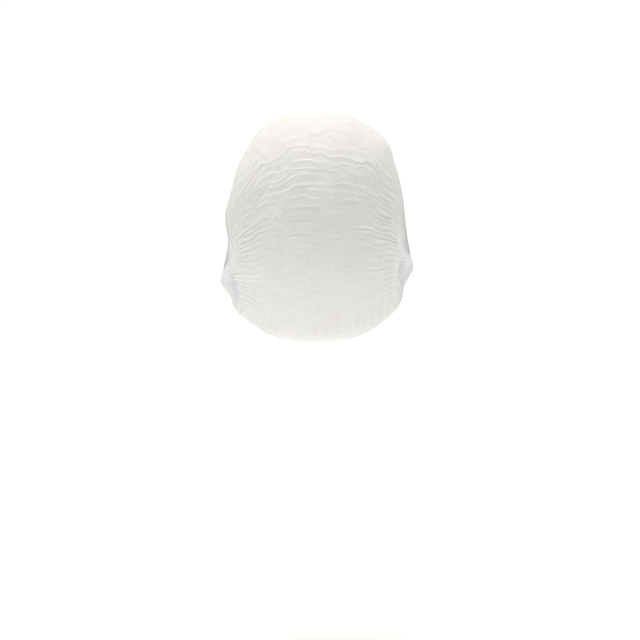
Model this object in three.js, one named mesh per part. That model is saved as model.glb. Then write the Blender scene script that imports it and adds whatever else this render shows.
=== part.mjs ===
// Disposable hair cover cap: a pleated nonwoven strip cap, opened out to its worn form.
// Millimetres, +Z up, the wearer faces -Y, and +X is the wearer's left.
// The origin is the inside of the crown, where the cap rests on top of the head.
import * as THREE from "three";

// Driving dimensions
const DROP = 195.5; // inside of the crown down to the edge of the nape hem
const BROW_DROP = 88.0; // and down to the edge of the forehead hem
const REACH_FRONT = 99.0; // centre line of the head to the forehead hem
const REACH_BACK = 97.0; // and to the fullest part behind
const NAPE_REACH = 55.0; // and to the nape hem
const WALL = 1.2; // the cover's cloth, in its pleats
const HEM_WIDTH = 8.0;
const GAP = 0.35; // between neighbouring pieces
const ENDS_Y = -4.0; // the strip's two welded ends lie over the ears
const ENDS = {
  left: { x: 85.0, z: -150.0 },
  right: { x: 86.6, z: -137.5 },
};

// Welded end: a fin that stands out of the slot where the pleats come together
const WELD_HEIGHT = 15.0;
const WELD_THICKNESS = 2.2;
const WELD_OUT = 1.3;
const WELD_IN = 2.6;
const WELD_LEAN = 0.18; // inwards for each millimetre up, so that its foot stands out most
const SLOT_HALF_WIDTH = WELD_THICKNESS / 2 + GAP;
const SLOT_HEIGHT = WELD_HEIGHT + 1.5;

// Folded hem and the elastic inside it
const HEM_LEAF = 1.0;
const HEM_ROOM = 1.4; // between the hem's two leaves
const ELASTIC_WIDTH = 4.5;
const ELASTIC_THICKNESS = 0.8;

// How finely the cloth is divided
const COLUMNS = 46; // from the right end to the left end
const HEM_COLUMNS = 40;
const PLAIN_ROW = 16.0; // the spacing of the rows where there are no pleats

// The cap's middle line, from the edge of the forehead hem over the crown to the edge of the nape hem
const MIDDLE = [
  { y: -REACH_FRONT + 3, z: -BROW_DROP },
  { y: -REACH_FRONT, z: -62 },
  { y: -81, z: -31 },
  { y: -45, z: -8 },
  { y: 0, z: 0 },
  { y: 40, z: -6 },
  { y: 71, z: -27 },
  { y: 90, z: -60 },
  { y: REACH_BACK, z: -96 },
  { y: 94, z: -130 },
  { y: 82, z: -160 },
  { y: 68, z: -182 },
  { y: NAPE_REACH, z: -DROP },
];
const FRONT = 0.0;
const CROWN = 0.33; // where the crown's section crosses the middle line, as a share of its length
const BACK = 0.66;
const NAPE = 1.0;

// Half sections from the middle to a welded end. out is a share of the way across to the end,
// and rise a share of the way from the line between the ends up to the middle line.
const CROWN_SECTION = {
  left: [
    { out: 0.0, rise: 1.0 },
    { out: 0.285, rise: 1.004 },
    { out: 0.53, rise: 0.956 },
    { out: 0.69, rise: 0.84 },
    { out: 0.82, rise: 0.69 },
    { out: 0.9, rise: 0.525 },
    { out: 0.965, rise: 0.355 },
    { out: 0.94, rise: 0.19 },
    { out: 1.0, rise: 0.0 },
  ],
  right: [
    { out: 0.0, rise: 1.0 },
    { out: 0.265, rise: 0.985 },
    { out: 0.48, rise: 0.92 },
    { out: 0.725, rise: 0.79 },
    { out: 0.815, rise: 0.635 },
    { out: 0.878, rise: 0.475 },
    { out: 0.918, rise: 0.32 },
    { out: 0.955, rise: 0.155 },
    { out: 1.0, rise: 0.0 },
  ],
};
const NAPE_SECTION = {
  left: [
    { out: 0.0, rise: 1.0 },
    { out: 0.18, rise: 0.965 },
    { out: 0.35, rise: 0.91 },
    { out: 0.49, rise: 0.83 },
    { out: 0.61, rise: 0.7 },
    { out: 0.745, rise: 0.55 },
    { out: 0.84, rise: 0.4 },
    { out: 0.89, rise: 0.21 },
    { out: 1.0, rise: 0.0 },
  ],
  right: [
    { out: 0.0, rise: 1.0 },
    { out: 0.185, rise: 0.995 },
    { out: 0.37, rise: 0.98 },
    { out: 0.515, rise: 0.905 },
    { out: 0.65, rise: 0.785 },
    { out: 0.785, rise: 0.63 },
    { out: 0.865, rise: 0.46 },
    { out: 0.9, rise: 0.24 },
    { out: 1.0, rise: 0.0 },
  ],
};
const ROUND_HALF = [
  { out: 0.0, rise: 1.0 },
  { out: 0.2, rise: 0.985 },
  { out: 0.39, rise: 0.93 },
  { out: 0.565, rise: 0.84 },
  { out: 0.71, rise: 0.71 },
  { out: 0.82, rise: 0.55 },
  { out: 0.885, rise: 0.37 },
  { out: 0.93, rise: 0.18 },
  { out: 1.0, rise: 0.0 },
];
const ROUND_SECTION = { left: ROUND_HALF, right: ROUND_HALF };

// Pleats that still show, each a crest with a crease below it on the side of the nearer hem.
// down is the drop of its crest on the middle line, and height how far the crest stands out.
const PLEATS = {
  front: [
    { down: 36, height: 1.0 },
    { down: 49, height: 1.3 },
    { down: 62, height: 1.0 },
  ],
  behind: [
    { down: 32, height: 1.2 },
    { down: 43, height: 1.9 },
    { down: 54, height: 2.4 },
    { down: 65, height: 2.6 },
    { down: 76, height: 2.4 },
    { down: 88, height: 2.0 },
    { down: 99, height: 1.4 },
  ],
};
const PLEATS_END = { front: 72, behind: 112 }; // the drop at which the cloth lies smooth again
const CREASE = 0.7; // where a pleat's crease lies, as a share of the way to the next crest
const BREAKS = 3.5; // how often each crest sinks between the middle and an end
const BREAK_DEPTH = 0.5; // as a share of the crest's height

// Gathers: the puffs that the elastic makes just above each hem
const GATHERS = {
  front: { count: 15, height: 2.6, shift: 0.3 },
  nape: { count: 15, height: 2.2, shift: 0.0 },
};
const GATHER_CREST = 17.0; // how far above the hem's edge they stand out most
const GATHER_END = 46.0; // and where they have died away

// The tuck that the flare pulls up behind the right ear
const TUCK = { across: -0.61, halfWidth: 0.05, from: 0.7, crest: 0.8, to: 0.93, height: 2.4 };

const middleCurve = new THREE.CatmullRomCurve3(MIDDLE.map((p) => new THREE.Vector3(0, p.y, p.z)));
middleCurve.arcLengthDivisions = 800;
const MIDDLE_LENGTH = middleCurve.getLength();
const HEM_SHARE = HEM_WIDTH / MIDDLE_LENGTH;
const middleStart = middleCurve.getPoint(0);

const lerp = THREE.MathUtils.lerp;
const smooth = THREE.MathUtils.smoothstep;

// Where the middle line has dropped so far, towards the edge of one hem.
function shareAtDrop(down, edge) {
  let above = CROWN;
  let below = edge;
  for (let i = 0; i < 40; i++) {
    const half = (above + below) / 2;
    if (-middleCurve.getPointAt(half).z < down) above = half;
    else below = half;
  }
  return (above + below) / 2;
}

// A value of a table's column between its evenly spaced rows, on a Catmull-Rom spline.
function between(rows, column, share) {
  const at = THREE.MathUtils.clamp(share, 0, 1) * (rows.length - 1);
  const i = Math.min(Math.floor(at), rows.length - 2);
  const f = at - i;
  const row = (k) => rows[THREE.MathUtils.clamp(k, 0, rows.length - 1)][column];
  const [a, b, c, d] = [row(i === 0 ? 1 : i - 1), row(i), row(i + 1), row(i + 2)];
  const before = i === 0 && column === "out" ? -a : a; // a half section starts on its axis of symmetry
  return b + 0.5 * f * (c - before + f * (2 * before - 5 * b + 4 * c - d + f * (3 * (b - c) + d - before)));
}

// out and rise at a share of the way from the middle to an end, on the section at share along.
function section(along, toEnd, side) {
  const drawn = (table) => ({
    out: between(table[side], "out", toEnd),
    rise: between(table[side], "rise", toEnd),
  });
  const [from, to, first, last] =
    along < CROWN
      ? [ROUND_SECTION, CROWN_SECTION, FRONT, CROWN]
      : along < BACK
        ? [CROWN_SECTION, ROUND_SECTION, CROWN, BACK]
        : [ROUND_SECTION, NAPE_SECTION, BACK, NAPE];
  const share = smooth(along, first, last);
  const [a, b] = [drawn(from), drawn(to)];
  return { out: lerp(a.out, b.out, share), rise: lerp(a.rise, b.rise, share) };
}

// Where a line of the cloth ends on the rim of the slot: up its forehead side, over its top and
// down its nape side, with the hems' widths kept.
function slotRim(along) {
  const far = Math.min(along, 1 - along);
  const up =
    far < HEM_SHARE
      ? (HEM_WIDTH * far) / HEM_SHARE
      : THREE.MathUtils.mapLinear(far, HEM_SHARE, 0.5, HEM_WIDTH, SLOT_HEIGHT);
  const back = SLOT_HALF_WIDTH * (1 - smooth(far, 0.44, 0.5));
  return { up, back: along < 0.5 ? -back : back };
}
const middleEnd = middleCurve.getPoint(1);
const seamUp = new THREE.Vector3(
  0,
  middleStart.z - middleEnd.z,
  middleEnd.y - middleStart.y,
).normalize(); // from the hems up into the cover, at right angles to the line of the hems
const seamBack = new THREE.Vector3(0, seamUp.z, -seamUp.y); // along the hems, from forehead to nape

// Up a welded end, which leans in over the head
function weldUp(side) {
  const lean = side === "left" ? -WELD_LEAN : WELD_LEAN;
  return seamUp.clone().add(new THREE.Vector3(lean, 0, 0)).normalize();
}

// The cloth's inner face without its folds. across goes from -1 at the right end to 1 at the left
// end, and along from 0 at the edge of the forehead hem to 1 at the edge of the nape hem.
function smoothPoint(across, along) {
  const side = across < 0 ? "right" : "left";
  const { out, rise } = section(along, Math.abs(across), side);
  const end = ENDS[side];
  const endsMiddle = (ENDS.left.z + ENDS.right.z) / 2;
  const base = new THREE.Vector3(Math.sign(across) * out * end.x, ENDS_Y, lerp(endsMiddle, end.z, out));
  const middle = middleCurve.getPointAt(THREE.MathUtils.clamp(along, 0, 1));
  middle.y -= ENDS_Y;
  middle.z -= endsMiddle;
  const rim = slotRim(along);
  return base
    .addScaledVector(middle, rise)
    .addScaledVector(weldUp(side), (1 - rise) * rim.up)
    .addScaledVector(seamBack, (1 - rise) * rim.back);
}

function outward(across, along) {
  const step = 0.004;
  const a = THREE.MathUtils.clamp(across, -1 + step, 1 - step);
  const t = THREE.MathUtils.clamp(along, step, 1 - step);
  const over = smoothPoint(a + step, t).sub(smoothPoint(a - step, t));
  const down = smoothPoint(a, t + step).sub(smoothPoint(a, t - step));
  return down.cross(over).normalize();
}

// The rows of a set of pleats, from its upper end to its lower end: crests, and creases between.
function rowsOfPleats(pleats, endDrop, edge) {
  const end = shareAtDrop(endDrop, edge);
  const crests = pleats.map((p, i) => ({ at: shareAtDrop(p.down, edge), height: p.height, pleat: i }));
  const rows = [{ at: crests[0].at - (crests[1].at - crests[0].at) / 2, height: 0, pleat: 0 }];
  for (const [i, crest] of crests.entries()) {
    const next = i + 1 < crests.length ? crests[i + 1].at : end;
    rows.push(crest, { at: lerp(crest.at, next, CREASE), height: 0, pleat: i });
  }
  rows.push({ at: end, height: 0, pleat: crests.length - 1 });
  return rows;
}
const pleatRows = {
  front: rowsOfPleats(PLEATS.front, PLEATS_END.front, FRONT).reverse(),
  behind: rowsOfPleats(PLEATS.behind, PLEATS_END.behind, NAPE),
};

function pleatHeight(across, along) {
  const rows = along < CROWN ? pleatRows.front : pleatRows.behind;
  const i = rows.findIndex((row) => along < row.at);
  if (i < 1) return 0;
  const [a, b] = [rows[i - 1], rows[i]];
  const sunk = (row) => 0.5 - 0.5 * Math.cos(2 * Math.PI * (BREAKS * across + row.pleat / 2));
  const height = (row) => row.height * (1 - BREAK_DEPTH * sunk(row));
  const fade = 1 - smooth(Math.abs(across), 0.7, 0.97);
  return fade * lerp(height(a), height(b), (along - a.at) / (b.at - a.at));
}

function tuckHeight(across, along) {
  const fade = smooth(along, TUCK.from, TUCK.crest) * (1 - smooth(along, TUCK.crest, TUCK.to));
  return TUCK.height * fade * Math.exp(-(((across - TUCK.across) / TUCK.halfWidth) ** 2));
}

function gatherHeight(across, along) {
  const front = along < 0.5;
  const gathers = front ? GATHERS.front : GATHERS.nape;
  const far = (front ? along : 1 - along) * MIDDLE_LENGTH;
  const grown = smooth(far, HEM_WIDTH, GATHER_CREST) * (1 - smooth(far, GATHER_CREST, GATHER_END));
  const fade = 1 - smooth(Math.abs(across), 0.86, 0.98);
  const wave = 0.5 - 0.5 * Math.cos(Math.PI * gathers.count * across + 2 * Math.PI * gathers.shift);
  return gathers.height * grown * fade * wave;
}

// A point of the cloth: depth 0 is its inner face and 1 its outer face.
function clothPoint(across, along, depth) {
  const folds = pleatHeight(across, along) + gatherHeight(across, along) + tuckHeight(across, along);
  return smoothPoint(across, along).addScaledVector(outward(across, along), depth * WALL + folds);
}

function geometryOf(points, triangles) {
  const geometry = new THREE.BufferGeometry();
  geometry.setAttribute("position", new THREE.Float32BufferAttribute(points.flatMap((p) => p.toArray()), 3));
  geometry.setIndex(triangles);
  geometry.computeVertexNormals();
  return geometry;
}

function quad(triangles, a, b, c, d) {
  triangles.push(a, b, c, a, c, d);
}

// A closed wall on a grid of points: at(i, j, face) gives the point in column i and row j.
function wallGeometry(columns, rows, at) {
  const points = [];
  for (const face of [0, 1])
    for (let i = 0; i <= columns; i++) for (let j = 0; j <= rows; j++) points.push(at(i, j, face));
  const index = (i, j, face) => (face * (columns + 1) + i) * (rows + 1) + j;
  const triangles = [];
  for (let i = 0; i < columns; i++)
    for (let j = 0; j < rows; j++) {
      quad(triangles, index(i, j, 1), index(i, j + 1, 1), index(i + 1, j + 1, 1), index(i + 1, j, 1));
      quad(triangles, index(i, j, 0), index(i + 1, j, 0), index(i + 1, j + 1, 0), index(i, j + 1, 0));
    }
  for (let i = 0; i < columns; i++) {
    quad(triangles, index(i, 0, 0), index(i, 0, 1), index(i + 1, 0, 1), index(i + 1, 0, 0));
    quad(triangles, index(i, rows, 1), index(i, rows, 0), index(i + 1, rows, 0), index(i + 1, rows, 1));
  }
  for (let j = 0; j < rows; j++) {
    quad(triangles, index(0, j, 0), index(0, j + 1, 0), index(0, j + 1, 1), index(0, j, 1));
    const [near, far] = [index(columns, j, 1), index(columns, j + 1, 1)];
    quad(triangles, near, far, index(columns, j + 1, 0), index(columns, j, 0));
  }
  return geometryOf(points, triangles);
}

// A closed bar: rings of points, each going round the bar the same way, capped at both ends.
function barGeometry(rings, cap) {
  const sides = rings[0].length;
  const triangles = [];
  for (let i = 0; i + 1 < rings.length; i++)
    for (let k = 0; k < sides; k++) {
      const next = (k + 1) % sides;
      quad(triangles, i * sides + k, i * sides + next, (i + 1) * sides + next, (i + 1) * sides + k);
    }
  const last = (rings.length - 1) * sides;
  for (const [a, b, c] of cap) {
    triangles.push(a, c, b);
    triangles.push(last + a, last + b, last + c);
  }
  return geometryOf(rings.flat(), triangles);
}

// The rows of the cover: one on each crest and crease, and plain ones between
function coverRows() {
  const hemTop = HEM_SHARE + GAP / MIDDLE_LENGTH;
  const folded = [...pleatRows.front, ...pleatRows.behind].map((row) => row.at);
  const wanted = [hemTop, ...folded, 1 - hemTop];
  const rows = [];
  for (let i = 0; i + 1 < wanted.length; i++) {
    const steps = Math.max(1, Math.round(((wanted[i + 1] - wanted[i]) * MIDDLE_LENGTH) / PLAIN_ROW));
    for (let k = 0; k < steps; k++) rows.push(lerp(wanted[i], wanted[i + 1], k / steps));
  }
  rows.push(1 - hemTop);
  return rows;
}

const END_SHARE = 0.985; // the cloth stops just short of the slot's own edge

function crownGeometry() {
  const rows = coverRows();
  return wallGeometry(COLUMNS, rows.length - 1, (i, j, face) =>
    clothPoint(END_SHARE * (-1 + (2 * i) / COLUMNS), rows[j], face),
  );
}

// A hem's own section: up goes from its folded edge towards the cover, and out is measured from
// the cloth's inner face.
const HEM_MIDDLE = WALL / 2;
const HEM_HALF = HEM_ROOM / 2 + HEM_LEAF;
const HEM_FOLD = 1.2; // the height of the fold's rounding
const HEM_SECTION = [
  { up: HEM_WIDTH, out: HEM_MIDDLE + HEM_HALF },
  { up: HEM_FOLD, out: HEM_MIDDLE + HEM_HALF },
  { up: 0, out: HEM_MIDDLE + HEM_ROOM / 2 },
  { up: 0, out: HEM_MIDDLE - HEM_ROOM / 2 },
  { up: HEM_FOLD, out: HEM_MIDDLE - HEM_HALF },
  { up: HEM_WIDTH, out: HEM_MIDDLE - HEM_HALF },
  { up: HEM_WIDTH, out: HEM_MIDDLE - HEM_ROOM / 2 },
  { up: HEM_FOLD, out: HEM_MIDDLE - HEM_ROOM / 2 },
  { up: HEM_FOLD, out: HEM_MIDDLE + HEM_ROOM / 2 },
  { up: HEM_WIDTH, out: HEM_MIDDLE + HEM_ROOM / 2 },
];
const HEM_CAP = [
  [0, 1, 8],
  [0, 8, 9],
  [1, 2, 8],
  [2, 3, 8],
  [3, 7, 8],
  [3, 4, 7],
  [4, 5, 6],
  [4, 6, 7],
];
const ELASTIC_UP = HEM_FOLD + (HEM_WIDTH - HEM_FOLD - ELASTIC_WIDTH) / 2;
const ELASTIC_SECTION = [
  { up: ELASTIC_UP + ELASTIC_WIDTH, out: HEM_MIDDLE + ELASTIC_THICKNESS / 2 },
  { up: ELASTIC_UP, out: HEM_MIDDLE + ELASTIC_THICKNESS / 2 },
  { up: ELASTIC_UP, out: HEM_MIDDLE - ELASTIC_THICKNESS / 2 },
  { up: ELASTIC_UP + ELASTIC_WIDTH, out: HEM_MIDDLE - ELASTIC_THICKNESS / 2 },
];
const ELASTIC_CAP = [
  [0, 1, 2],
  [0, 2, 3],
];
const HEM_END_SHARE = 0.985;

// A bar that follows a hem from the right end to the left end.
function alongHem(nape, shape, cap) {
  const edge = nape ? NAPE : FRONT;
  const inside = nape ? -HEM_SHARE : HEM_SHARE;
  const rings = [];
  for (let i = 0; i <= HEM_COLUMNS; i++) {
    const across = HEM_END_SHARE * (-1 + (2 * i) / HEM_COLUMNS);
    const foot = smoothPoint(across, edge);
    const top = smoothPoint(across, edge + inside);
    const out = outward(across, edge + inside);
    const ring = shape.map((p) => foot.clone().lerp(top, p.up / HEM_WIDTH).addScaledVector(out, p.out));
    rings.push(nape ? ring : ring.reverse());
  }
  const last = shape.length - 1;
  const turned = nape ? cap : cap.map(([a, b, c]) => [last - a, last - c, last - b]);
  return barGeometry(rings, turned);
}

// A welded end: a fin in the slot, from the hems' edges to just below the slot's top.
function endGeometry(side) {
  const sign = side === "left" ? 1 : -1;
  const end = ENDS[side];
  const up = weldUp(side);
  const out = seamBack.clone().cross(up);
  const fin = new THREE.BoxGeometry(WELD_IN + WELD_OUT, WELD_THICKNESS, WELD_HEIGHT);
  fin.translate(sign * (WELD_OUT - WELD_IN) * 0.5, 0, WELD_HEIGHT / 2);
  fin.applyMatrix4(new THREE.Matrix4().makeBasis(out, seamBack, up));
  fin.translate(sign * end.x, ENDS_Y, end.z);
  return fin;
}

const nonwoven = new THREE.MeshStandardMaterial({ color: 0xe6e6e1, roughness: 0.9, metalness: 0 });
const foldedNonwoven = new THREE.MeshStandardMaterial({ color: 0xecece9, roughness: 0.88, metalness: 0 });
const weldedNonwoven = new THREE.MeshStandardMaterial({ color: 0xdfe3e6, roughness: 0.55, metalness: 0 });
const rubber = new THREE.MeshStandardMaterial({ color: 0xf2f0ea, roughness: 0.7, metalness: 0 });

const cap = new THREE.Group();
function add(name, geometry, material) {
  const mesh = new THREE.Mesh(geometry, material);
  mesh.name = name;
  cap.add(mesh);
}

add("crown", crownGeometry(), nonwoven);
add("hem_front", alongHem(false, HEM_SECTION, HEM_CAP), foldedNonwoven);
add("hem_nape", alongHem(true, HEM_SECTION, HEM_CAP), foldedNonwoven);
add("elastic_front", alongHem(false, ELASTIC_SECTION, ELASTIC_CAP), rubber);
add("elastic_nape", alongHem(true, ELASTIC_SECTION, ELASTIC_CAP), rubber);
add("end_weld_left", endGeometry("left"), weldedNonwoven);
add("end_weld_right", endGeometry("right"), weldedNonwoven);

export default cap;
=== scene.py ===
"""Disposable hair cover cap, opened out to its worn form. Metres, +Z up, the wearer faces -Y."""

import math

import bpy
import numpy as np
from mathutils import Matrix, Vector


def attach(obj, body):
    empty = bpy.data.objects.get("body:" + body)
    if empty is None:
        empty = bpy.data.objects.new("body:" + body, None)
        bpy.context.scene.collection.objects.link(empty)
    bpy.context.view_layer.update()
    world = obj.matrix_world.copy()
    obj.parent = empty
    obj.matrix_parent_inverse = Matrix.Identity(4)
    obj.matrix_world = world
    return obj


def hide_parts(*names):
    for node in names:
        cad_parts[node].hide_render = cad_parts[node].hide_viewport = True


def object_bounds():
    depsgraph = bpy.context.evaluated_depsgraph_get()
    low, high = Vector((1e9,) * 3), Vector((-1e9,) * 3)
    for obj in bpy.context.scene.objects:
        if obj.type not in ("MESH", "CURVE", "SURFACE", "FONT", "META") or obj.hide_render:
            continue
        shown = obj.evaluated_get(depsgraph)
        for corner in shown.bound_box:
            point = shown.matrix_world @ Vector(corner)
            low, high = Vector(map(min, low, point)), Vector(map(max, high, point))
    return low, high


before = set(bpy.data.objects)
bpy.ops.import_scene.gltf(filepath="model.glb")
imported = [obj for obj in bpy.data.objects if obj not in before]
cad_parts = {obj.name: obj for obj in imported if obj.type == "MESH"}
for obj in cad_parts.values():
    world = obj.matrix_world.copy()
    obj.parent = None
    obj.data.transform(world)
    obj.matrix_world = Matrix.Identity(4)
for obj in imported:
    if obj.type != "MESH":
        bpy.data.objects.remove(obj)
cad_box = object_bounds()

MM = 0.001

# ---------------------------------------------------------------- the form, in millimetres
DROP = 195.5  # from the top of the crown to the nape hem
BROW_DROP = 88.0  # from the top of the crown to the forehead hem
REACH_FRONT = 99.0  # forwards and backwards of the top of the crown
REACH_BACK = 97.0
NAPE_REACH = 55.0
CLOTH_MIDDLE = 0.6  # the visible cloth runs through the middle of the CAD wall
HEM_WIDTH = 8.0
ENDS_Y = -4.0  # both welds stand a little forward of the top of the crown
ENDS = {"left": (85.0, -150.0), "right": (86.6, -137.5)}  # x and z of each welded end's foot
WELD_LEAN = 0.18  # of a weld's top towards the head, for each millimetre of its height
SLOT_HALF_WIDTH = 1.45  # half of the gap that the cloth leaves for the weld, and its height
SLOT_HEIGHT = 16.5

MIDDLE = np.array(  # y and z of the cap's middle line, from the forehead hem to the nape hem
    [
        (-REACH_FRONT + 3, -BROW_DROP),
        (-REACH_FRONT, -62),
        (-81, -31),
        (-45, -8),
        (0, 0),
        (40, -6),
        (71, -27),
        (90, -60),
        (REACH_BACK, -96),
        (94, -130),
        (82, -160),
        (68, -182),
        (NAPE_REACH, -DROP),
    ]
)
FRONT, CROWN, BACK, NAPE = 0.0, 0.33, 0.66, 1.0  # where along the cap each section below stands

# Half sections from the middle line to a welded end: (out, rise) as shares of the way
ROUND_HALF = [
    (0.0, 1.0),
    (0.2, 0.985),
    (0.39, 0.93),
    (0.565, 0.84),
    (0.71, 0.71),
    (0.82, 0.55),
    (0.885, 0.37),
    (0.93, 0.18),
    (1.0, 0.0),
]
SECTIONS = {
    "round": {"left": ROUND_HALF, "right": ROUND_HALF},
    "crown": {
        "left": [
            (0.0, 1.0),
            (0.285, 1.004),
            (0.53, 0.956),
            (0.69, 0.84),
            (0.82, 0.69),
            (0.9, 0.525),
            (0.965, 0.355),
            (0.94, 0.19),
            (1.0, 0.0),
        ],
        "right": [
            (0.0, 1.0),
            (0.265, 0.985),
            (0.48, 0.92),
            (0.725, 0.79),
            (0.815, 0.635),
            (0.878, 0.475),
            (0.918, 0.32),
            (0.955, 0.155),
            (1.0, 0.0),
        ],
    },
    "nape": {
        "left": [
            (0.0, 1.0),
            (0.18, 0.965),
            (0.35, 0.91),
            (0.49, 0.83),
            (0.61, 0.7),
            (0.745, 0.55),
            (0.84, 0.4),
            (0.89, 0.21),
            (1.0, 0.0),
        ],
        "right": [
            (0.0, 1.0),
            (0.185, 0.995),
            (0.37, 0.98),
            (0.515, 0.905),
            (0.65, 0.785),
            (0.785, 0.63),
            (0.865, 0.46),
            (0.9, 0.24),
            (1.0, 0.0),
        ],
    },
}

# ---------------------------------------------------------------- the folds
COLUMNS = 254
ACROSS_END = 0.985  # the cloth ends just short of the middle of each weld, at 1
HALF_ARC = 200.0  # roughly, from the middle line to a welded end over the crown
WALL_ARC = 0.9  # the same way over the back, and along a hem, as shares of that
HEM_ARC = 0.72
PLEAT_PROFILE = [  # height within one pleat, from its crest to the next
    (0.0, 1.0),
    (0.06, 0.82),
    (0.16, 0.6),
    (0.32, 0.34),
    (0.5, 0.14),
    (0.7, 0.0),
    (0.84, 0.1),
    (0.94, 0.42),
    (1.0, 1.0),
]
# Crests behind, by their drop on the middle line, with the height of each
CRESTS_BEHIND = [
    (20, 0.12),
    (27, 0.25),
    (33, 0.4),
    (40.5, 0.55),
    (46, 0.4),
    (51, 0.6),
    (58, 0.6),
    (63, 0.45),
    (68, 0.55),
    (75, 0.5),
    (80.5, 0.45),
    (86, 0.4),
    (91.5, 0.4),
    (97, 0.32),
    (102.5, 0.25),
    (108, 0.18),
    (114, 0.1),
]
PLAIN_PITCH = 11.0  # between the crests over the top and the forehead
PLAIN_PITCH_BEHIND = 7.5  # and below the rows above, where they are almost pulled flat
PLAIN_HEIGHT = 0.1
FRONT_HEIGHT = 0.7  # added to it where the pleats over the forehead are fullest
FRONT_DROP = 50.0  # how far below the top of the crown that is
FRONT_SPREAD = 0.065  # and how far along the cap they spread from there
CROWDING = 1.0  # how much of the spare cloth stands up in the pleats beside a welded end
CALM_FLARE = 0.18  # how much sooner they end in the flares behind, as a share of a half
STEEPEST = 4.0  # the greatest depth of a crowded pleat against its width
STEEPEST_LOW = 1.1  # and low down behind, where the flares are pulled open
# Where each change begins and is complete: from the middle line to a weld ...
CROWDED = (0.62, 0.84)  # the pleats crowd together
STEPS_FADE = (0.6, 0.82)  # the crests stop stepping from cell to cell
CRESTS_FADE = (0.72, 0.9)  # and lose the height of their own
PUCKERS_FADE = (0.8, 0.97)
WAVES_FADE = (0.88, 0.98)  # so do the gathers and the hems' waves
# ... and along the cap
FOLDS_BEGIN, FOLDS_END = (0.02, 0.06), (0.94, 0.98)
FLARE = (0.6, 0.74)  # the flares behind
SHALLOW = (0.64, 0.76)  # the crowded pleats grow shallow
PULLED = (0.66, 0.78)  # the cloth is pulled smooth over the back of the head
LEAN = 0.35  # of a crowded pleat over the next one, for each millimetre that it sinks
# The crests step from cell to cell: where each cell ends, in millimetres to the left of the
# middle line, and how far the crests of the next are shifted, as a share of the pitch
CELL_EDGES = [-122, -98, -74, -52, -31, -14, 5, 33, 56, 79, 102, 126]
CELL_SHIFTS = [0.1, -0.2, 0.12, -0.25, 0.05, 0.38, 0.0, -0.42, 0.15, -0.25, 0.08, -0.2, 0.1]
LEAST_KEEN = [0.2, 0.2, 0.2, 0.2, 0.2, 0.2, 0.3, 1.35, 0.4, 0.3, 0.2, 0.2, 0.2]  # in each cell
EDGE_DRIFT = 7.0  # how far an edge strays from crest to crest, and how much the shifts stray
SHIFT_DRIFT = 0.32
CELL_TILT = 0.12  # of a crest within one cell, as a share of the pitch, with a slight bow
CELL_BOW = 0.05
CREST_SEED = 900
STEP_RUN = (2.5, 8.0)  # the least and most width of the step between two cells
FAINTEST, KEENEST = 0.1, 1.5  # share of a crest's height in one cell
SIDE_GAIN = 0.35  # how much higher the crests stand at the sides than in the middle
GATHER_PITCH = 10.5  # of the gathers beside the hems, with their height and the hems' own waves
GATHER_HEIGHT = 0.75
HEM_WAVE = 0.8
WAVE_REACH = 9.6  # how far from the hem's edge its wave is full
CREST_HIGHLIGHT_WIDTH = 0.09  # of the painted highlight on a crest, to each side, as a share of the pitch
GATHER_SEEDS = {"front": 21, "nape": 22}
# Puckers all over: cells across and along the cloth, height and seed
LONG_PUCKERS = ((16, 17), 0.55, 8)
FINE_PUCKERS = [((44, 46), 0.3, 9), ((90, 95), 0.16, 10)]
PULLED_SMOOTH = 0.45  # the share of the fine ones that is gone where the cloth is pulled smooth
UNEVEN = ((30, 44), 0.35, 5)  # how unevenly high the crests are: cells, share and seed
# The upright ridge behind the right ear
TUCK = {"across": -0.615, "width": 0.026, "from": 0.7, "crest": 0.8, "to": 0.93, "height": 3.2}
# Short creases and dents: where the middle of each is, its half length and half width,
# its depth, and its slope down to the left
DENTS = [  # across, along, long, wide, deep, slope
    (0.42, 0.587, 8.0, 1.5, 0.9, 0.75),
    (0.355, 0.627, 8.0, 1.5, 0.9, 0.7),
    (0.32, 0.659, 7.0, 1.4, 0.8, 0.5),
    (0.3, 0.69, 6.0, 1.4, 0.6, 0.4),
    (0.047, 0.78, 1.3, 10.0, 0.5, 0.0),
    (0.06, 0.84, 1.4, 12.0, 0.5, 0.0),
    (-0.53, 0.81, 4.0, 20.0, 0.5, 0.0),
    (0.25, 0.86, 9.0, 3.0, 0.4, -0.4),
    (-0.2, 0.9, 10.0, 3.0, 0.4, 0.3),
    (-0.33, 0.86, 3.0, 11.0, 0.45, 0.4),
    (0.2, 0.8, 2.0, 12.0, 0.35, 0.3),
]


def smooth(x, a, b):
    """From 0 at a to 1 at b, level at both."""
    t = np.clip((x - a) / (b - a), 0.0, 1.0)
    return t * t * (3 - 2 * t)


def spline(before, b, c, d, f):
    """The Catmull-Rom curve from b to c at f."""
    cubed = 3 * (b - c) + d - before
    squared = 2 * before - 5 * b + 4 * c - d
    return b + 0.5 * f * (c - before + f * (squared + f * cubed))


def between(rows, share):
    """out and rise at each share of the way along a half section."""
    rows = np.array(rows)
    mirrored = rows[1] * (-1, 1)
    ext = np.vstack([mirrored, rows, rows[-1]])
    at = np.clip(share, 0, 1) * (len(rows) - 1)
    i = np.minimum(at.astype(int), len(rows) - 2)
    f = (at - i)[..., None]
    return spline(ext[i], ext[i + 1], ext[i + 2], ext[i + 3], f)


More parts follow.
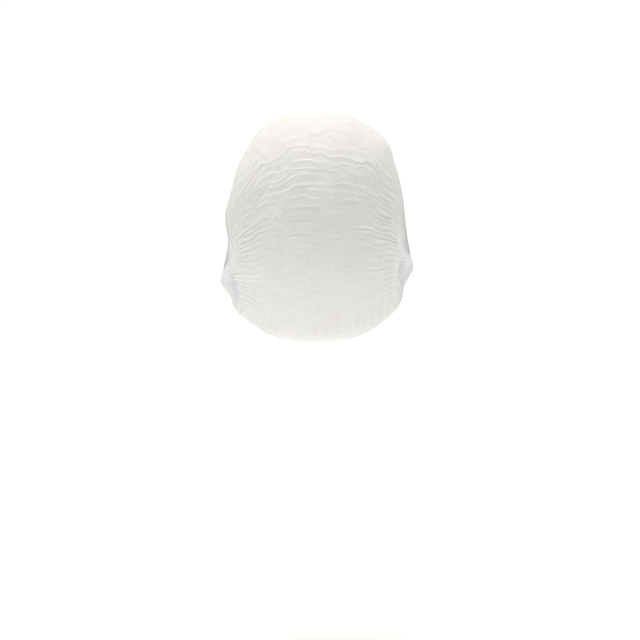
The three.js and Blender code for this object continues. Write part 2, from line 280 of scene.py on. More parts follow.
def middle_line():
    """The middle line as a dense polyline with its length so far: the centripetal spline of the CAD."""
    p = np.vstack([2 * MIDDLE[0] - MIDDLE[1], MIDDLE, 2 * MIDDLE[-1] - MIDDLE[-2]])
    out = []
    f = np.linspace(0, 1, 64, endpoint=False)[:, None]
    for a, b, c, d in zip(p, p[1:], p[2:], p[3:]):
        k = [np.linalg.norm(y - x) ** 0.5 for x, y in ((a, b), (b, c), (c, d))]
        t1 = ((b - a) / k[0] - (c - a) / (k[0] + k[1]) + (c - b) / k[1]) * k[1]
        t2 = ((c - b) / k[1] - (d - b) / (k[1] + k[2]) + (d - c) / k[2]) * k[1]
        out.append(b + t1 * f + (3 * (c - b) - 2 * t1 - t2) * f**2 + (2 * (b - c) + t1 + t2) * f**3)
    line = np.vstack([*out, MIDDLE[-1]])
    length = np.concatenate([[0], np.cumsum(np.linalg.norm(np.diff(line, axis=0), axis=1))])
    return line, length


LINE, LENGTH = middle_line()
MIDDLE_LENGTH = LENGTH[-1]
HEM_SHARE = HEM_WIDTH / MIDDLE_LENGTH
ENDS_Z = (ENDS["left"][1] + ENDS["right"][1]) / 2


def share_at_drop(down, behind=True):
    """along of the middle line where it has dropped so far below the top of the crown."""
    crown = np.argmax(LINE[:, 1])
    part = slice(crown, None) if behind else slice(0, crown + 1)
    z, length = -LINE[part, 1], LENGTH[part]
    if not behind:
        z, length = z[::-1], length[::-1]
    return float(np.interp(down, z, length) / MIDDLE_LENGTH)


def unit(v):
    return v / np.linalg.norm(v, axis=-1, keepdims=True)


SEAM_UP = unit(np.array([0.0, MIDDLE[0, 1] - MIDDLE[-1, 1], MIDDLE[-1, 0] - MIDDLE[0, 0]]))
SEAM_BACK = np.array([0.0, SEAM_UP[2], -SEAM_UP[1]])


def weld_up(sign):
    """The direction from a weld's foot to its top."""
    return unit(SEAM_UP + np.array([-sign * WELD_LEAN, 0.0, 0.0]))


def section(along, to_end, side):
    """out and rise of one side, blended from section to section along the cap."""
    drawn = {k: between(SECTIONS[k][side], to_end) for k in SECTIONS}
    to_crown = smooth(along, FRONT, CROWN)[..., None]
    to_back = smooth(along, CROWN, BACK)[..., None]
    to_nape = smooth(along, BACK, NAPE)[..., None]
    before = drawn["round"] * (1 - to_crown) + drawn["crown"] * to_crown
    after = drawn["crown"] * (1 - to_back) + drawn["round"] * to_back
    last = drawn["round"] * (1 - to_nape) + drawn["nape"] * to_nape
    along = along[..., None]
    return np.where(along < CROWN, before, np.where(along < BACK, after, last))


def smooth_points(across, along):
    """The cloth without its folds. across and along are arrays of one shape."""
    along = np.clip(along, 0, 1)
    far = np.minimum(along, 1 - along)
    rim_up = np.where(
        far < HEM_SHARE,
        HEM_WIDTH * far / HEM_SHARE,
        np.interp(far, (HEM_SHARE, 0.5), (HEM_WIDTH, SLOT_HEIGHT)),
    )
    rim_back = SLOT_HALF_WIDTH * (1 - smooth(far, 0.44, 0.5)) * np.where(along < 0.5, -1, 1)
    middle_y = np.interp(along * MIDDLE_LENGTH, LENGTH, LINE[:, 0]) - ENDS_Y
    middle_z = np.interp(along * MIDDLE_LENGTH, LENGTH, LINE[:, 1]) - ENDS_Z
    points = np.zeros(across.shape + (3,))
    for side, sign in (("right", -1), ("left", 1)):
        here = across < 0 if side == "right" else across >= 0
        out, rise = np.moveaxis(section(along, np.abs(across), side), -1, 0)
        x, z = ENDS[side]
        height = ENDS_Z + (z - ENDS_Z) * out + middle_z * rise
        p = np.stack([sign * out * x, ENDS_Y + middle_y * rise, height], -1)
        p += ((1 - rise) * rim_up)[..., None] * weld_up(sign)
        p += ((1 - rise) * rim_back)[..., None] * SEAM_BACK
        points = np.where(here[..., None], p, points)
    return points


def normals_of(points):
    """Outward normals of a grid of points, columns by rows."""
    over = np.gradient(points, axis=0)
    down = np.gradient(points, axis=1)
    return unit(np.cross(over, down))


def noise(shape, cells, seed):
    """Smooth noise from -1 to 1 on a grid, with so many cells each way."""
    rng = np.random.default_rng(seed)
    grid = rng.uniform(-1, 1, (cells[0] + 4, cells[1] + 4))
    x = np.linspace(0, cells[0], shape[0]) + 1
    y = np.linspace(0, cells[1], shape[1]) + 1

    def along_axis(g, at):
        i = np.minimum(at.astype(int), g.shape[0] - 3)
        f = (at - i)[:, None]
        return spline(g[i - 1], g[i], g[i + 1], g[i + 2], f)

    return along_axis(along_axis(grid, x).T, y).T


# ---------------------------------------------------------------- the cover's rows and columns
def crest_list():
    """(along, height) of every crest from the forehead hem to the nape hem."""
    behind = [(share_at_drop(d), h) for d, h in CRESTS_BEHIND]
    crests = list(behind)
    pitch = PLAIN_PITCH / MIDDLE_LENGTH
    brow = share_at_drop(FRONT_DROP, behind=False)
    at = behind[0][0] - pitch
    while at > HEM_SHARE + 0.3 * pitch:
        height = PLAIN_HEIGHT + FRONT_HEIGHT * math.exp(-(((at - brow) / FRONT_SPREAD) ** 2))
        crests.append((at, height))
        at -= pitch
    pitch = PLAIN_PITCH_BEHIND / MIDDLE_LENGTH
    at = behind[-1][0] + pitch
    while at < 1 - HEM_SHARE - 0.3 * pitch:
        crests.append((at, PLAIN_HEIGHT))
        at += pitch
    start, end = 0.6 * HEM_SHARE, 1 - 0.6 * HEM_SHARE
    return [(start, 0.0), *sorted(crests), (end, 0.0)]


CRESTS = crest_list()
ACROSS = np.linspace(-ACROSS_END, ACROSS_END, COLUMNS + 1)


def eased(values, width):
    """Values averaged over so many columns."""
    ends = np.pad(values, width // 2, mode="edge")
    return np.convolve(ends, np.ones(width) / width, mode="valid")


def crest_cells(k):
    """Crest k cell by cell over the columns: its shift as a share of the pitch, and its keenness."""
    rng = np.random.default_rng(CREST_SEED + k)
    edges = np.array(CELL_EDGES) + rng.uniform(-EDGE_DRIFT, EDGE_DRIFT, len(CELL_EDGES))
    run = rng.uniform(*STEP_RUN, len(edges))
    starts = np.concatenate([[-HALF_ARC], edges + run / 2])
    ends = np.concatenate([edges - run / 2, [HALF_ARC]])
    middle = np.array(CELL_SHIFTS) + rng.uniform(-SHIFT_DRIFT, SHIFT_DRIFT, len(starts))
    tilt = rng.uniform(-CELL_TILT, CELL_TILT, len(starts))
    keen = FAINTEST + (KEENEST - FAINTEST) * rng.uniform(0, 1, len(starts)) ** 1.5
    keen = np.maximum(keen, LEAST_KEEN)
    far = ACROSS * HALF_ARC
    at = np.stack([starts, ends], 1).ravel()
    shift = np.interp(far, at, np.stack([middle - tilt, middle + tilt], 1).ravel())
    bow = CELL_BOW * np.sin(far / 7 + rng.uniform(0, 6.28))
    calm = 1 - smooth(np.abs(ACROSS), *STEPS_FADE)
    height = np.interp(far, at, np.repeat(keen, 2))
    return (eased(shift, 3) + bow) * calm, eased(height, 7)


def crest_lines():
    """along of every crest at every column, and its height there."""
    at = np.array([a for a, _ in CRESTS])
    lines, heights = [], []
    for k, (along, height) in enumerate(CRESTS):
        shift, keen = crest_cells(k)
        pitch = (at[min(k + 1, len(at) - 1)] - at[max(k - 1, 0)]) / 2
        edge = min(along - at[0], at[-1] - along) / (3 * PLAIN_PITCH / MIDDLE_LENGTH)
        line = along + shift * pitch * smooth(edge, 0.0, 1.0)
        if lines:
            line = np.maximum(line, lines[-1] + 0.5 * (along - at[k - 1]))
        lines.append(line)
        heights.append(height * keen * (1 + SIDE_GAIN * smooth(np.abs(ACROSS), 0.2, 0.5)))
    lines[-1] = np.full(ACROSS.shape, at[-1])
    return lines, heights


def cover_grid():
    """along and the crests' height at every column and row; each row's profile and crest number."""
    lines, heights = crest_lines()
    phases, shape = zip(*PLEAT_PROFILE)
    rows = [(k, t) for k in range(len(lines) - 1) for t in phases[:-1]]
    rows.append((len(lines) - 2, 1.0))
    along = np.array([lines[k] * (1 - t) + lines[k + 1] * t for k, t in rows]).T
    height = np.array([heights[k] * (1 - t) + heights[k + 1] * t for k, t in rows]).T
    profile = np.array([np.interp(t, phases, shape) for _, t in rows])
    number = np.array([k + t for k, t in rows])
    return along, height, profile, number


def gather_wave(across, edge):
    """The gathers of one hem from 0 to 1, uneven in width and height."""
    rng = np.random.default_rng(GATHER_SEEDS[edge])
    share = np.linspace(0, 1, len(across))
    drift = np.interp(share, np.linspace(0, 1, 14), rng.uniform(-1.3, 1.3, 14))
    size = np.interp(share, np.linspace(0, 1, 24), rng.uniform(0.45, 1.0, 24))
    turns = 2 * np.pi * across * HALF_ARC * HEM_ARC / GATHER_PITCH + drift
    return size * (0.5 - 0.5 * np.cos(turns))


def crowded_depth(number):
    """How deep each pleat has to be to hold its cloth, at each column and row."""
    at = np.array([a for a, _ in CRESTS])
    across, along = np.meshgrid(ACROSS, at, indexing="ij")
    room = np.linalg.norm(np.diff(smooth_points(across, along), axis=1), axis=2)
    cloth = np.diff(at) * MIDDLE_LENGTH
    depth = 0.5 * np.sqrt(np.clip(cloth**2 - room**2, 0, None))
    low = smooth((at[1:] + at[:-1]) / 2, *SHALLOW)
    depth = np.minimum(depth, (STEEPEST + (STEEPEST_LOW - STEEPEST) * low) * room)
    middles = np.arange(len(at) - 1) + 0.5
    return np.array([np.interp(number, middles, d) for d in depth])


def hem_sway(wave, far):
    """How far the wave carries the cloth outwards, so far from the hem's edge."""
    return HEM_WAVE * (wave - 0.4) * (0.35 + 0.65 * np.clip(far, 0, WAVE_REACH) / WAVE_REACH)


def dent_depth(across, along):
    """How deep the creases and dents are."""
    depth = np.zeros(along.shape)
    for at_across, at_along, long, wide, deep, slope in DENTS:
        over = (across - at_across) * HALF_ARC * WALL_ARC
        down = (along - at_along) * MIDDLE_LENGTH
        turn = math.hypot(1, slope)
        lengthwise = (over - slope * down) / turn if long > wide else over
        sideways = (down - slope * over) / turn if long > wide else down - slope * over
        depth += deep * np.exp(-((lengthwise / long) ** 2) - (sideways / wide) ** 2)
    return depth


def tuck_share(across, along):
    """The tuck's height, as a share of its crest."""
    tuck = smooth(along, TUCK["from"], TUCK["crest"]) * (1 - smooth(along, TUCK["crest"], TUCK["to"]))
    return tuck * np.exp(-(((across - TUCK["across"]) / TUCK["width"]) ** 2))


def crowded_pleats(along, number, inside):
    """How far the pleats sink between their crests where they crowd together towards the welds."""
    across = np.abs(ACROSS[:, None])
    crest_heights = [h for _, h in CRESTS]
    pleated = np.clip(np.interp(number, np.arange(len(CRESTS)), crest_heights), 0.12, 1.0)
    near_end = smooth(across, *CROWDED)
    crowding = CROWDING * (near_end + (1 - near_end) * pleated * smooth(across, 0.1, 0.6))
    phase = number - np.floor(number)
    sink = np.minimum(phase, 1 - phase) * 2
    calm_from = 0.96 - CALM_FLARE * smooth(along, *FLARE)
    last = 1 - smooth((across - calm_from) / (1 - calm_from), 0.0, 1.0)
    return -crowded_depth(number) * crowding * inside * sink * last


def gathers(along):
    """The gathers that run from each hem into the cover."""
    far = np.minimum(along, 1 - along) * MIDDLE_LENGTH
    front, nape = (gather_wave(ACROSS, edge)[:, None] for edge in ("front", "nape"))
    wave = np.where(along < 0.5, front, nape)
    grown = smooth(far, 9.0, 18.0) * (1 - smooth(far, 18.0, 46.0))
    hold = 1 - smooth(np.abs(ACROSS[:, None]), *WAVES_FADE)
    return (GATHER_HEIGHT * wave * grown + hem_sway(wave, far) * (1 - smooth(far, 10, 24))) * hold


def puckers(along, inside):
    """The soft unevenness of thin cloth, finer where it is slack."""
    loose = inside * (1 - smooth(np.abs(ACROSS[:, None]), *PUCKERS_FADE))
    cells, height, seed = LONG_PUCKERS
    total = loose * height * noise(along.shape, cells, seed)
    crumpled = loose * (1 - PULLED_SMOOTH * smooth(along, *PULLED))
    for cells, height, seed in FINE_PUCKERS:
        total += crumpled * height * noise(along.shape, cells, seed)
    return total


def fold_heights(along, height, profile, number):
    """How far the folds carry the cloth outwards, and the part of it that is crowded pleats."""
    across = ACROSS[:, None]
    inside = smooth(along, *FOLDS_BEGIN) * (1 - smooth(along, *FOLDS_END))
    fade = 1 - smooth(np.abs(across), *CRESTS_FADE)
    cells, share, seed = UNEVEN
    uneven = 1 + share * noise(along.shape, cells, seed)
    crowded = crowded_pleats(along, number, inside)
    folds = height * fade * uneven * profile + crowded + gathers(along)
    folds += TUCK["height"] * tuck_share(across, along)
    folds -= dent_depth(across, along)
    folds += puckers(along, inside)
    return folds, crowded


def grid_mesh(name, points, uv):
    """A mesh of one sheet from a grid of points in millimetres, with uv in metres of cloth."""
    cols, rows = points.shape[:2]
    index = np.arange(cols * rows).reshape(cols, rows)
    corners = [index[:-1, :-1], index[:-1, 1:], index[1:, 1:], index[1:, :-1]]
    quads = np.stack(corners, -1).reshape(-1, 4)
    mesh = bpy.data.meshes.new(name)
    mesh.from_pydata((points.reshape(-1, 3) * MM).tolist(), [], quads.tolist())
    layer = mesh.uv_layers.new(name="cloth")
    layer.data.foreach_set("uv", uv.reshape(-1, 2)[quads.ravel()].astype(np.float32).ravel())
    mesh.polygons.foreach_set("use_smooth", np.ones(len(quads), bool))
    mesh.update()
    obj = bpy.data.objects.new(name, mesh)
    bpy.context.scene.collection.objects.link(obj)
    return obj


def cloth_uv(points):
    """Distance along the cloth each way, in metres."""
    over = np.linalg.norm(np.diff(points, axis=0), axis=2)
    down = np.linalg.norm(np.diff(points, axis=1), axis=2)
    u = np.concatenate([[0.0], np.cumsum(over.mean(1))])
    v = np.concatenate([[0.0], np.cumsum(down.max(0))])
    return np.stack(np.meshgrid(u, v, indexing="ij"), -1) * MM


def attribute(obj, name, values):
    """A value at each vertex, for the materials."""
    layer = obj.data.attributes.new(name, "FLOAT", "POINT")
    layer.data.foreach_set("value", values.astype(np.float32).ravel())


def make_cover():
    """The pleated cover as one sheet, with where it is loose (painted backlight), where its crests and
    tuck take a painted highlight, and where it is slack.
    """
    along, height, profile, number = cover_grid()
    across = np.repeat(ACROSS[:, None], along.shape[1], axis=1)
    base = smooth_points(across, along)
    normal = normals_of(base)
    folds, crowded = fold_heights(along, height, profile, number)
    down = unit(np.gradient(base, axis=1))
    lean = LEAN * crowded * np.where(along < CROWN, 1, -1)
    points = base + normal * (folds + CLOTH_MIDDLE)[..., None] + down * lean[..., None]
    cover = grid_mesh("crown_cloth", points, cloth_uv(base))
    # A painted highlight along each crest and up the tuck's ridge, where the light from above catches
    # them
    near = np.clip(1 - np.minimum(number % 1, 1 - number % 1) / CREST_HIGHLIGHT_WIDTH, 0, 1)
    crest = near[None, :] * np.clip(height, 0, 1) * (1 - smooth(np.abs(across), 0.75, 0.95))
    flare = smooth(along, *FLARE)
    # Where the cloth stands off the head: painted backlight in its colour, and more real translucency
    attribute(cover, "loose", smooth(np.abs(across) + 0.14 * flare, 0.7, 0.93))
    attribute(cover, "crest", np.maximum(crest, 0.7 * tuck_share(across, along)))
    slack = smooth(along, 0.4, 0.52) * (1 - smooth(along, 0.68, 0.78))
    attribute(cover, "slack", slack * (1 - smooth(np.abs(across), 0.6, 0.8)))
    return cover


# ---------------------------------------------------------------- hems, elastics and welds
HEM_SECTION = [  # up from the hem's edge, and out from the middle of the cloth
    (9.8, 0.08),
    (8.8, 0.3),
    (7.2, 0.6),
    (5.0, 0.85),
    (2.4, 0.85),
    (0.9, 0.6),
    (0.15, 0.25),
    (0.15, -0.25),
    (0.9, -0.6),
    (2.4, -0.85),
    (5.0, -0.85),
    (7.2, -0.6),
    (8.8, -0.3),
    (9.8, -0.08),
]
HEM_COLUMNS = 420
HEM_LIFT = 0.5  # how far a gather lifts the hem's edge
ELASTIC_SECTION = [(6.8, 0.35), (2.4, 0.35), (2.4, -0.35), (6.8, -0.35), (6.8, 0.35)]
ELASTIC_COLUMNS = 260
WELD_FOOT, WELD_HEIGHT = 0.3, 14.4
WELD_HALF_WIDTH, WELD_HALF_THICKNESS = 2.0, 0.98
WELD_INSET = 0.6  # of the weld's middle, towards the head
WELD_RIDGES, WELD_RIDGE = 13, 0.06  # pressed across the weld: how many, and their share of its thickness
WELD_WAVES, WELD_WAVE = 6, 0.1  # in the weld's edges
WELD_ROWS, WELD_COLUMNS = 40, 48


def hem_frame(edge, count):
    """A hem's foot, its directions up and out, and its gathers, at so many columns."""
    across = np.linspace(-ACROSS_END, ACROSS_END, count)
    start, inwards = (1.0, -1) if edge == "nape" else (0.0, 1)
    seam = start + inwards * HEM_SHARE
    foot = smooth_points(across, np.full(count, start))
    top = smooth_points(across, np.full(count, seam))
    further = smooth_points(across, np.full(count, seam + inwards * 0.004))
    out = unit(np.cross(further - top, np.gradient(top, axis=0)))
    out *= np.sign(((top - top.mean(0)) * out).sum(1).mean())
    hold = 1 - smooth(np.abs(across), *WAVES_FADE)
    return foot, (top - foot) / HEM_WIDTH, out, gather_wave(across, edge), hold


def along_hem(name, edge, section, count, lift):
    """A mesh of a section swept along a hem, waving with its gathers."""
    foot, up, out, wave, hold = hem_frame(edge, count)
    rings = []
    for rise, away in section:
        raised = rise + lift * wave * (1 - rise / WAVE_REACH) * hold
        away = away + CLOTH_MIDDLE + hem_sway(wave, rise) * hold
        rings.append(foot + up * raised[:, None] + out * away[:, None])
    points = np.stack(rings, 1)
    return grid_mesh(name, points, cloth_uv(points))


def make_hem(name, edge):
    return along_hem(name, edge, HEM_SECTION, HEM_COLUMNS, HEM_LIFT)


def make_elastic(name, edge):
    return along_hem(name, edge, ELASTIC_SECTION, ELASTIC_COLUMNS, 0.0)


def rounded(values):
    """A sine or cosine swelled towards 1 and -1, so that a circle turns into a rounded box."""
    return np.sign(values) * np.abs(values) ** 0.5


def make_weld(name, side):
    """A welded end: a flat bar over all the pleats, ribbed, with wavy edges."""
    sign = 1 if side == "left" else -1
    x, z = ENDS[side]
    foot = np.array([sign * x, ENDS_Y, z])
    up = weld_up(sign)
    outward = sign * unit(np.cross(SEAM_BACK, up))
    turn = np.linspace(0, 2 * np.pi, WELD_COLUMNS + 1)
    rings = []
    for share in np.arange(WELD_ROWS + 1) / WELD_ROWS:
        cap = min(1.0, 6 * min(share, 1 - share) + 0.05) ** 0.5
        ridge = 1 + WELD_RIDGE * math.sin(2 * np.pi * share * WELD_RIDGES)
        wave = 1 + WELD_WAVE * math.sin(2 * np.pi * share * WELD_WAVES + 1)
        wide = WELD_HALF_WIDTH * rounded(np.cos(turn)) * cap * wave - WELD_INSET
        thick = WELD_HALF_THICKNESS * rounded(np.sin(turn)) * cap * ridge
        centre = foot + up * (WELD_FOOT + WELD_HEIGHT * share)
        rings.append(centre + wide[:, None] * outward + thick[:, None] * SEAM_BACK)
    points = np.stack(rings)
    return grid_mesh(name, points, cloth_uv(points))


cover = make_cover()
hem_front = make_hem("hem_front_cloth", "front")
hem_nape = make_hem("hem_nape_cloth", "nape")
elastic_front = make_elastic("elastic_front_band", "front")
elastic_nape = make_elastic("elastic_nape_band", "nape")
weld_left = make_weld("weld_left", "left")
weld_right = make_weld("weld_right", "right")


# ---------------------------------------------------------------- materials
# Noise patterns on the cloth: scale per metre, detail and stretch
FIBRES = (1100, 5, (1.0, 0.4, 1.0))
CLOUD = (130, 4, (1.0, 1.0, 1.0))
CRINKLE = (190, 2, (0.4, 1.0, 1.0))
SPECKLE = (900, 3, (1.0, 1.0, 1.0))
CRINKLE_WIDTH = 0.035  # how far from the middle value of its noise a crinkle reaches
CRINKLE_HIGHLIGHT = 0.5  # of the full painted highlight, on a crinkle line
BOND_SCALE = 900
BOND_RELIEF = 0.35
# The colour of the painted highlight on the crests, the tuck's ridge and the crinkle lines
HIGHLIGHT_COLOUR = (0.96, 0.96, 0.95)
LOOSE_GLOW = 0.3  # more light comes through where the cloth stands off the head


def new_material(name, colour, roughness):
    mat = bpy.data.materials.new(name)
    mat.use_nodes = True
    nodes = mat.node_tree.nodes
    shader = nodes["Principled BSDF"]
    shader.inputs["Base Color"].default_value = (*colour, 1)
    shader.inputs["Roughness"].default_value = roughness
    return mat, nodes, mat.node_tree.links, shader


def mapped_noise(nodes, links, coords, scale, detail, stretch):
    mapping = nodes.new("ShaderNodeMapping")
    mapping.inputs["Scale"].default_value = stretch
    texture = nodes.new("ShaderNodeTexNoise")
    texture.inputs["Scale"].default_value = scale
    texture.inputs["Detail"].default_value = detail
    links.new(coords.outputs["UV"], mapping.inputs["Vector"])
    links.new(mapping.outputs["Vector"], texture.inputs["Vector"])
    return texture.outputs["Fac"]


def bands(nodes, links, coords, direction, scale, distortion):
    wave = nodes.new("ShaderNodeTexWave")
    wave.bands_direction = direction
    wave.inputs["Scale"].default_value = scale
    wave.inputs["Distortion"].default_value = distortion
    links.new(coords.outputs["UV"], wave.inputs["Vector"])
    return wave


def spread(nodes, links, value, low, high, to_low=0.0, to_high=1.0):
    ramp = nodes.new("ShaderNodeMapRange")
    ramp.inputs["From Min"].default_value = low
    ramp.inputs["From Max"].default_value = high
    ramp.inputs["To Min"].default_value = to_low
    ramp.inputs["To Max"].default_value = to_high
    links.new(value, ramp.inputs["Value"])
    return ramp.outputs["Result"]


def mixed(nodes, links, factor, first, second):
    """A colour mix: first may be a socket or a colour, and second is a colour."""
    mix = nodes.new("ShaderNodeMix")
    mix.data_type = "RGBA"
    links.new(factor, mix.inputs["Factor"])
    if isinstance(first, tuple):
        mix.inputs["A"].default_value = (*first, 1)
    else:
        links.new(first, mix.inputs["A"])
    mix.inputs["B"].default_value = (*second, 1)
    return mix.outputs["Result"]


def calc(nodes, links, operation, first, second=0.0):
    maths = nodes.new("ShaderNodeMath")
    maths.operation = operation
    for socket, value in zip(maths.inputs, (first, second)):
        if isinstance(value, (int, float)):
            socket.default_value = value
        else:
            links.new(value, socket)
    return maths.outputs["Value"]


def mesh_value(nodes, name):
    node = nodes.new("ShaderNodeAttribute")
    node.attribute_name = name
    return node.outputs["Fac"]


def bumped(nodes, links, relief, strength, distance):
    bump = nodes.new("ShaderNodeBump")
    bump.inputs["Strength"].default_value = strength
    bump.inputs["Distance"].default_value = distance
    links.new(relief, bump.inputs["Height"])
    return bump


def bond_points(nodes, links, coords):
    """The pattern of points where the fibres are pressed together."""
    points = nodes.new("ShaderNodeTexVoronoi")
    points.inputs["Scale"].default_value = BOND_SCALE
    points.inputs["Randomness"].default_value = 0.12
    links.new(coords.outputs["UV"], points.inputs["Vector"])
    return spread(nodes, links, points.outputs["Distance"], 0.12, 0.34)


def crinkle_lines(nodes, links, coords):
    """Fine broken lines across slack cloth."""
    pattern = mapped_noise(nodes, links, coords, *CRINKLE)
    off_line = calc(nodes, links, "ABSOLUTE", calc(nodes, links, "SUBTRACT", pattern, 0.5))
    lines = spread(nodes, links, off_line, 0.0, CRINKLE_WIDTH, 1.0, 0.0)
    return calc(nodes, links, "MULTIPLY", lines, mesh_value(nodes, "slack"))


def nonwoven(name, colour, thin_colour, painted_backlight_colour, through):
    """Spunbond cloth: a web of fibres, thicker in some places, with a fine pattern of bond points; with
    a painted highlight on crests and crinkle lines, and painted backlight where it is loose.
    """
    mat, nodes, links, shader = new_material(name, colour, 0.85)
    shader.inputs["Sheen Weight"].default_value = 0.15
    shader.inputs["Specular IOR Level"].default_value = 0.25
    coords = nodes.new("ShaderNodeTexCoord")
    fibres = mapped_noise(nodes, links, coords, *FIBRES)
    cloud = mapped_noise(nodes, links, coords, *CLOUD)
    bond = bond_points(nodes, links, coords)
    lines = crinkle_lines(nodes, links, coords)
    fine = calc(nodes, links, "MULTIPLY", spread(nodes, links, fibres, 0.35, 0.65), 0.5)
    coarse = calc(nodes, links, "MULTIPLY", spread(nodes, links, cloud, 0.3, 0.7), 0.5)
    tone = mixed(nodes, links, calc(nodes, links, "ADD", fine, coarse), thin_colour, colour)
    # Painted backlight: paler and bluer where the cloth stands off the head and the white behind shines
    # through
    tone = mixed(nodes, links, mesh_value(nodes, "loose"), tone, painted_backlight_colour)
    # Painted highlight: pale on the crests, the tuck's ridge and the crinkle lines
    painted_highlight = calc(nodes, links, "MULTIPLY", lines, CRINKLE_HIGHLIGHT)
    painted_highlight = calc(nodes, links, "MAXIMUM", mesh_value(nodes, "crest"), painted_highlight)
    tone = mixed(nodes, links, painted_highlight, tone, HIGHLIGHT_COLOUR)
    links.new(tone, shader.inputs["Base Color"])
    relief = calc(nodes, links, "ADD", fibres, calc(nodes, links, "MULTIPLY", bond, BOND_RELIEF))
    web = bumped(nodes, links, relief, 0.3, 0.0002)
    creases = bumped(nodes, links, lines, 0.5, 0.0004)
    links.new(web.outputs["Normal"], creases.inputs["Normal"])
    links.new(creases.outputs["Normal"], shader.inputs["Normal"])
    glow = nodes.new("ShaderNodeBsdfTranslucent")
    links.new(tone, glow.inputs["Color"])
    share = calc(nodes, links, "MULTIPLY", mesh_value(nodes, "loose"), LOOSE_GLOW)
    share = calc(nodes, links, "ADD", share, through)
    mix = nodes.new("ShaderNodeMixShader")
    links.new(share, mix.inputs["Fac"])
    links.new(shader.outputs["BSDF"], mix.inputs[1])
    links.new(glow.outputs["BSDF"], mix.inputs[2])
    links.new(mix.outputs["Shader"], nodes["Material Output"].inputs["Surface"])
    return mat


def pressed_cloth(name, colour, groove_colour):
    """Layers of cloth welded together: close ribs across the weld, with a faint gloss."""
    mat, nodes, links, shader = new_material(name, colour, 0.45)
    coords = nodes.new("ShaderNodeTexCoord")
    wave = bands(nodes, links, coords, "X", 260, 1.5)
    wave.inputs["Detail"].default_value = 2
    ribs = wave.outputs["Fac"]
    speckle = calc(nodes, links, "MULTIPLY", mapped_noise(nodes, links, coords, *SPECKLE), 0.5)
    links.new(mixed(nodes, links, ribs, groove_colour, colour), shader.inputs["Base Color"])
    bump = bumped(nodes, links, calc(nodes, links, "ADD", ribs, speckle), 0.4, 0.0003)
    links.new(bump.outputs["Normal"], shader.inputs["Normal"])
    return mat


def covered_elastic(name, colour, groove_colour):
    """Flat elastic: fine ribs of covered rubber along its length, crossed by the covering thread."""
    mat, nodes, links, shader = new_material(name, colour, 0.75)
    coords = nodes.new("ShaderNodeTexCoord")
    ribs = bands(nodes, links, coords, "Y", 520, 0.6).outputs["Fac"]
    thread = bands(nodes, links, coords, "X", 700, 2.0).outputs["Fac"]
    relief = calc(nodes, links, "MULTIPLY", ribs, thread)
    links.new(mixed(nodes, links, relief, groove_colour, colour), shader.inputs["Base Color"])
    bump = bumped(nodes, links, relief, 0.5, 0.0003)
    links.new(bump.outputs["Normal"], shader.inputs["Normal"])
    return mat


cover_cloth = nonwoven(
    "cover_cloth",
    colour=(0.88, 0.877, 0.868),
    thin_colour=(0.81, 0.807, 0.798),
    # paler and bluer: painted backlight where the cloth stands off the head
    painted_backlight_colour=(0.945, 0.957, 0.975),
    through=0.24,
)
# The hem cloth is paler than the cover: partly its doubled layers' own whiteness, partly painted light
# that lifts the shade on its downward-facing band.
hem_cloth = nonwoven(
    "hem_cloth",
    colour=(0.93, 0.93, 0.92),
    thin_colour=(0.9, 0.9, 0.89),
    painted_backlight_colour=(0.94, 0.945, 0.945),
    through=0.1,
)
welded = pressed_cloth("welded_cloth", (0.92, 0.925, 0.93), (0.84, 0.85, 0.86))
band = covered_elastic("elastic_band", (0.9, 0.89, 0.86), (0.78, 0.76, 0.72))

for piece, node, slot, mat in (
    (cover, "crown", "cover_cloth", cover_cloth),
    (hem_front, "hem_front", "hem_cloth", hem_cloth),
    (hem_nape, "hem_nape", "hem_cloth", hem_cloth),
    (elastic_front, "elastic_front", "elastic", band),
    (elastic_nape, "elastic_nape", "elastic", band),
    (weld_left, "end_weld_left", "welded_cloth", welded),
    (weld_right, "end_weld_right", "welded_cloth", welded),
):
    piece.data.materials.append(mat)
    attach(piece, "root")
    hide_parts(node)

# ---------------------------------------------------------------- floor, light and camera
FLOOR_Z = cad_box[0][2] - 0.30  # the cap is held up well above it
SKY = 0.3
OVERHEAD = 3.6
BOUNCE = 0.2
LEFT_BOUNCE, RIGHT_BOUNCE = 0.42, 0.26
OVERHEAD_LEAN = math.radians(9)  # towards the forehead side
OVERHEAD_SIDE = math.radians(4)  # towards the left side
CARDS = {  # white cards round the cap: place, aim, watts and size
    "low_card": ((0.25, 0.6, -0.46), (0.0, 0.05, -0.17), BOUNCE, 0.5),
    "left_card": ((0.5, 0.15, -0.45), (0.085, 0.0, -0.15), LEFT_BOUNCE, 0.3),
    "right_card": ((-0.5, 0.15, -0.45), (-0.086, 0.0, -0.14), RIGHT_BOUNCE, 0.3),
}
CAMERA_DISTANCE = 1.5
CAMERA_RISE = math.radians(7.0)
CAMERA_ANGLE = math.radians(21.7)
AIM = (-0.0036, 0.0, -0.183)

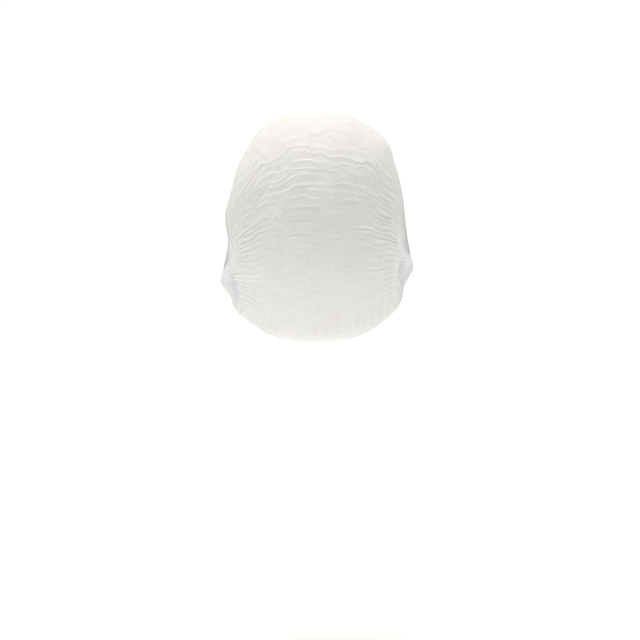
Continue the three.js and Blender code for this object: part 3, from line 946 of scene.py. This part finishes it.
bpy.ops.mesh.primitive_plane_add(size=60, location=(0, 0, FLOOR_Z))
floor = bpy.context.active_object
floor.name = "floor"
floor_mat, *_ = new_material("floor", (0.86, 0.86, 0.86), 0.9)
floor.data.materials.append(floor_mat)

world = bpy.data.worlds.new("studio")
bpy.context.scene.world = world
world.use_nodes = True
wn, wl = world.node_tree.nodes, world.node_tree.links
sky = wn["Background"]
sky.inputs["Color"].default_value = (0.95, 0.98, 1.0, 1)
sky.inputs["Strength"].default_value = SKY
backdrop = wn.new("ShaderNodeBackground")
backdrop.inputs["Color"].default_value = (1, 1, 1, 1)
backdrop.inputs["Strength"].default_value = 1.02
path = wn.new("ShaderNodeLightPath")
pick = wn.new("ShaderNodeMixShader")
wl.new(path.outputs["Is Camera Ray"], pick.inputs["Fac"])
wl.new(sky.outputs["Background"], pick.inputs[1])
wl.new(backdrop.outputs["Background"], pick.inputs[2])
wl.new(pick.outputs["Shader"], wn["World Output"].inputs["Surface"])

lamp = bpy.data.lights.new("overhead", "SUN")
lamp.energy = OVERHEAD
lamp.angle = math.radians(40)
lamp.color = (1.0, 0.96, 0.91)
overhead = bpy.data.objects.new("overhead", lamp)
overhead.rotation_euler = (OVERHEAD_LEAN, OVERHEAD_SIDE, 0)
bpy.context.scene.collection.objects.link(overhead)

for name, (place, aim, watts, size) in CARDS.items():
    card = bpy.data.lights.new(name, "AREA")
    card.energy = watts
    card.size = size
    reflected = bpy.data.objects.new(name, card)
    reflected.location = place
    towards = Vector(aim) - Vector(place)
    reflected.rotation_euler = towards.to_track_quat("-Z", "Y").to_euler()
    reflected.visible_camera = False
    bpy.context.scene.collection.objects.link(reflected)

camera_data = bpy.data.cameras.new("camera")
camera_data.angle = CAMERA_ANGLE
camera = bpy.data.objects.new("camera", camera_data)
camera.location = (
    AIM[0],
    AIM[1] + CAMERA_DISTANCE * math.cos(CAMERA_RISE),
    AIM[2] + CAMERA_DISTANCE * math.sin(CAMERA_RISE),
)
camera.rotation_euler = (math.pi / 2 - CAMERA_RISE, 0, math.pi)
bpy.context.scene.collection.objects.link(camera)
bpy.context.scene.camera = camera

bpy.context.scene.view_settings.view_transform = "Standard"
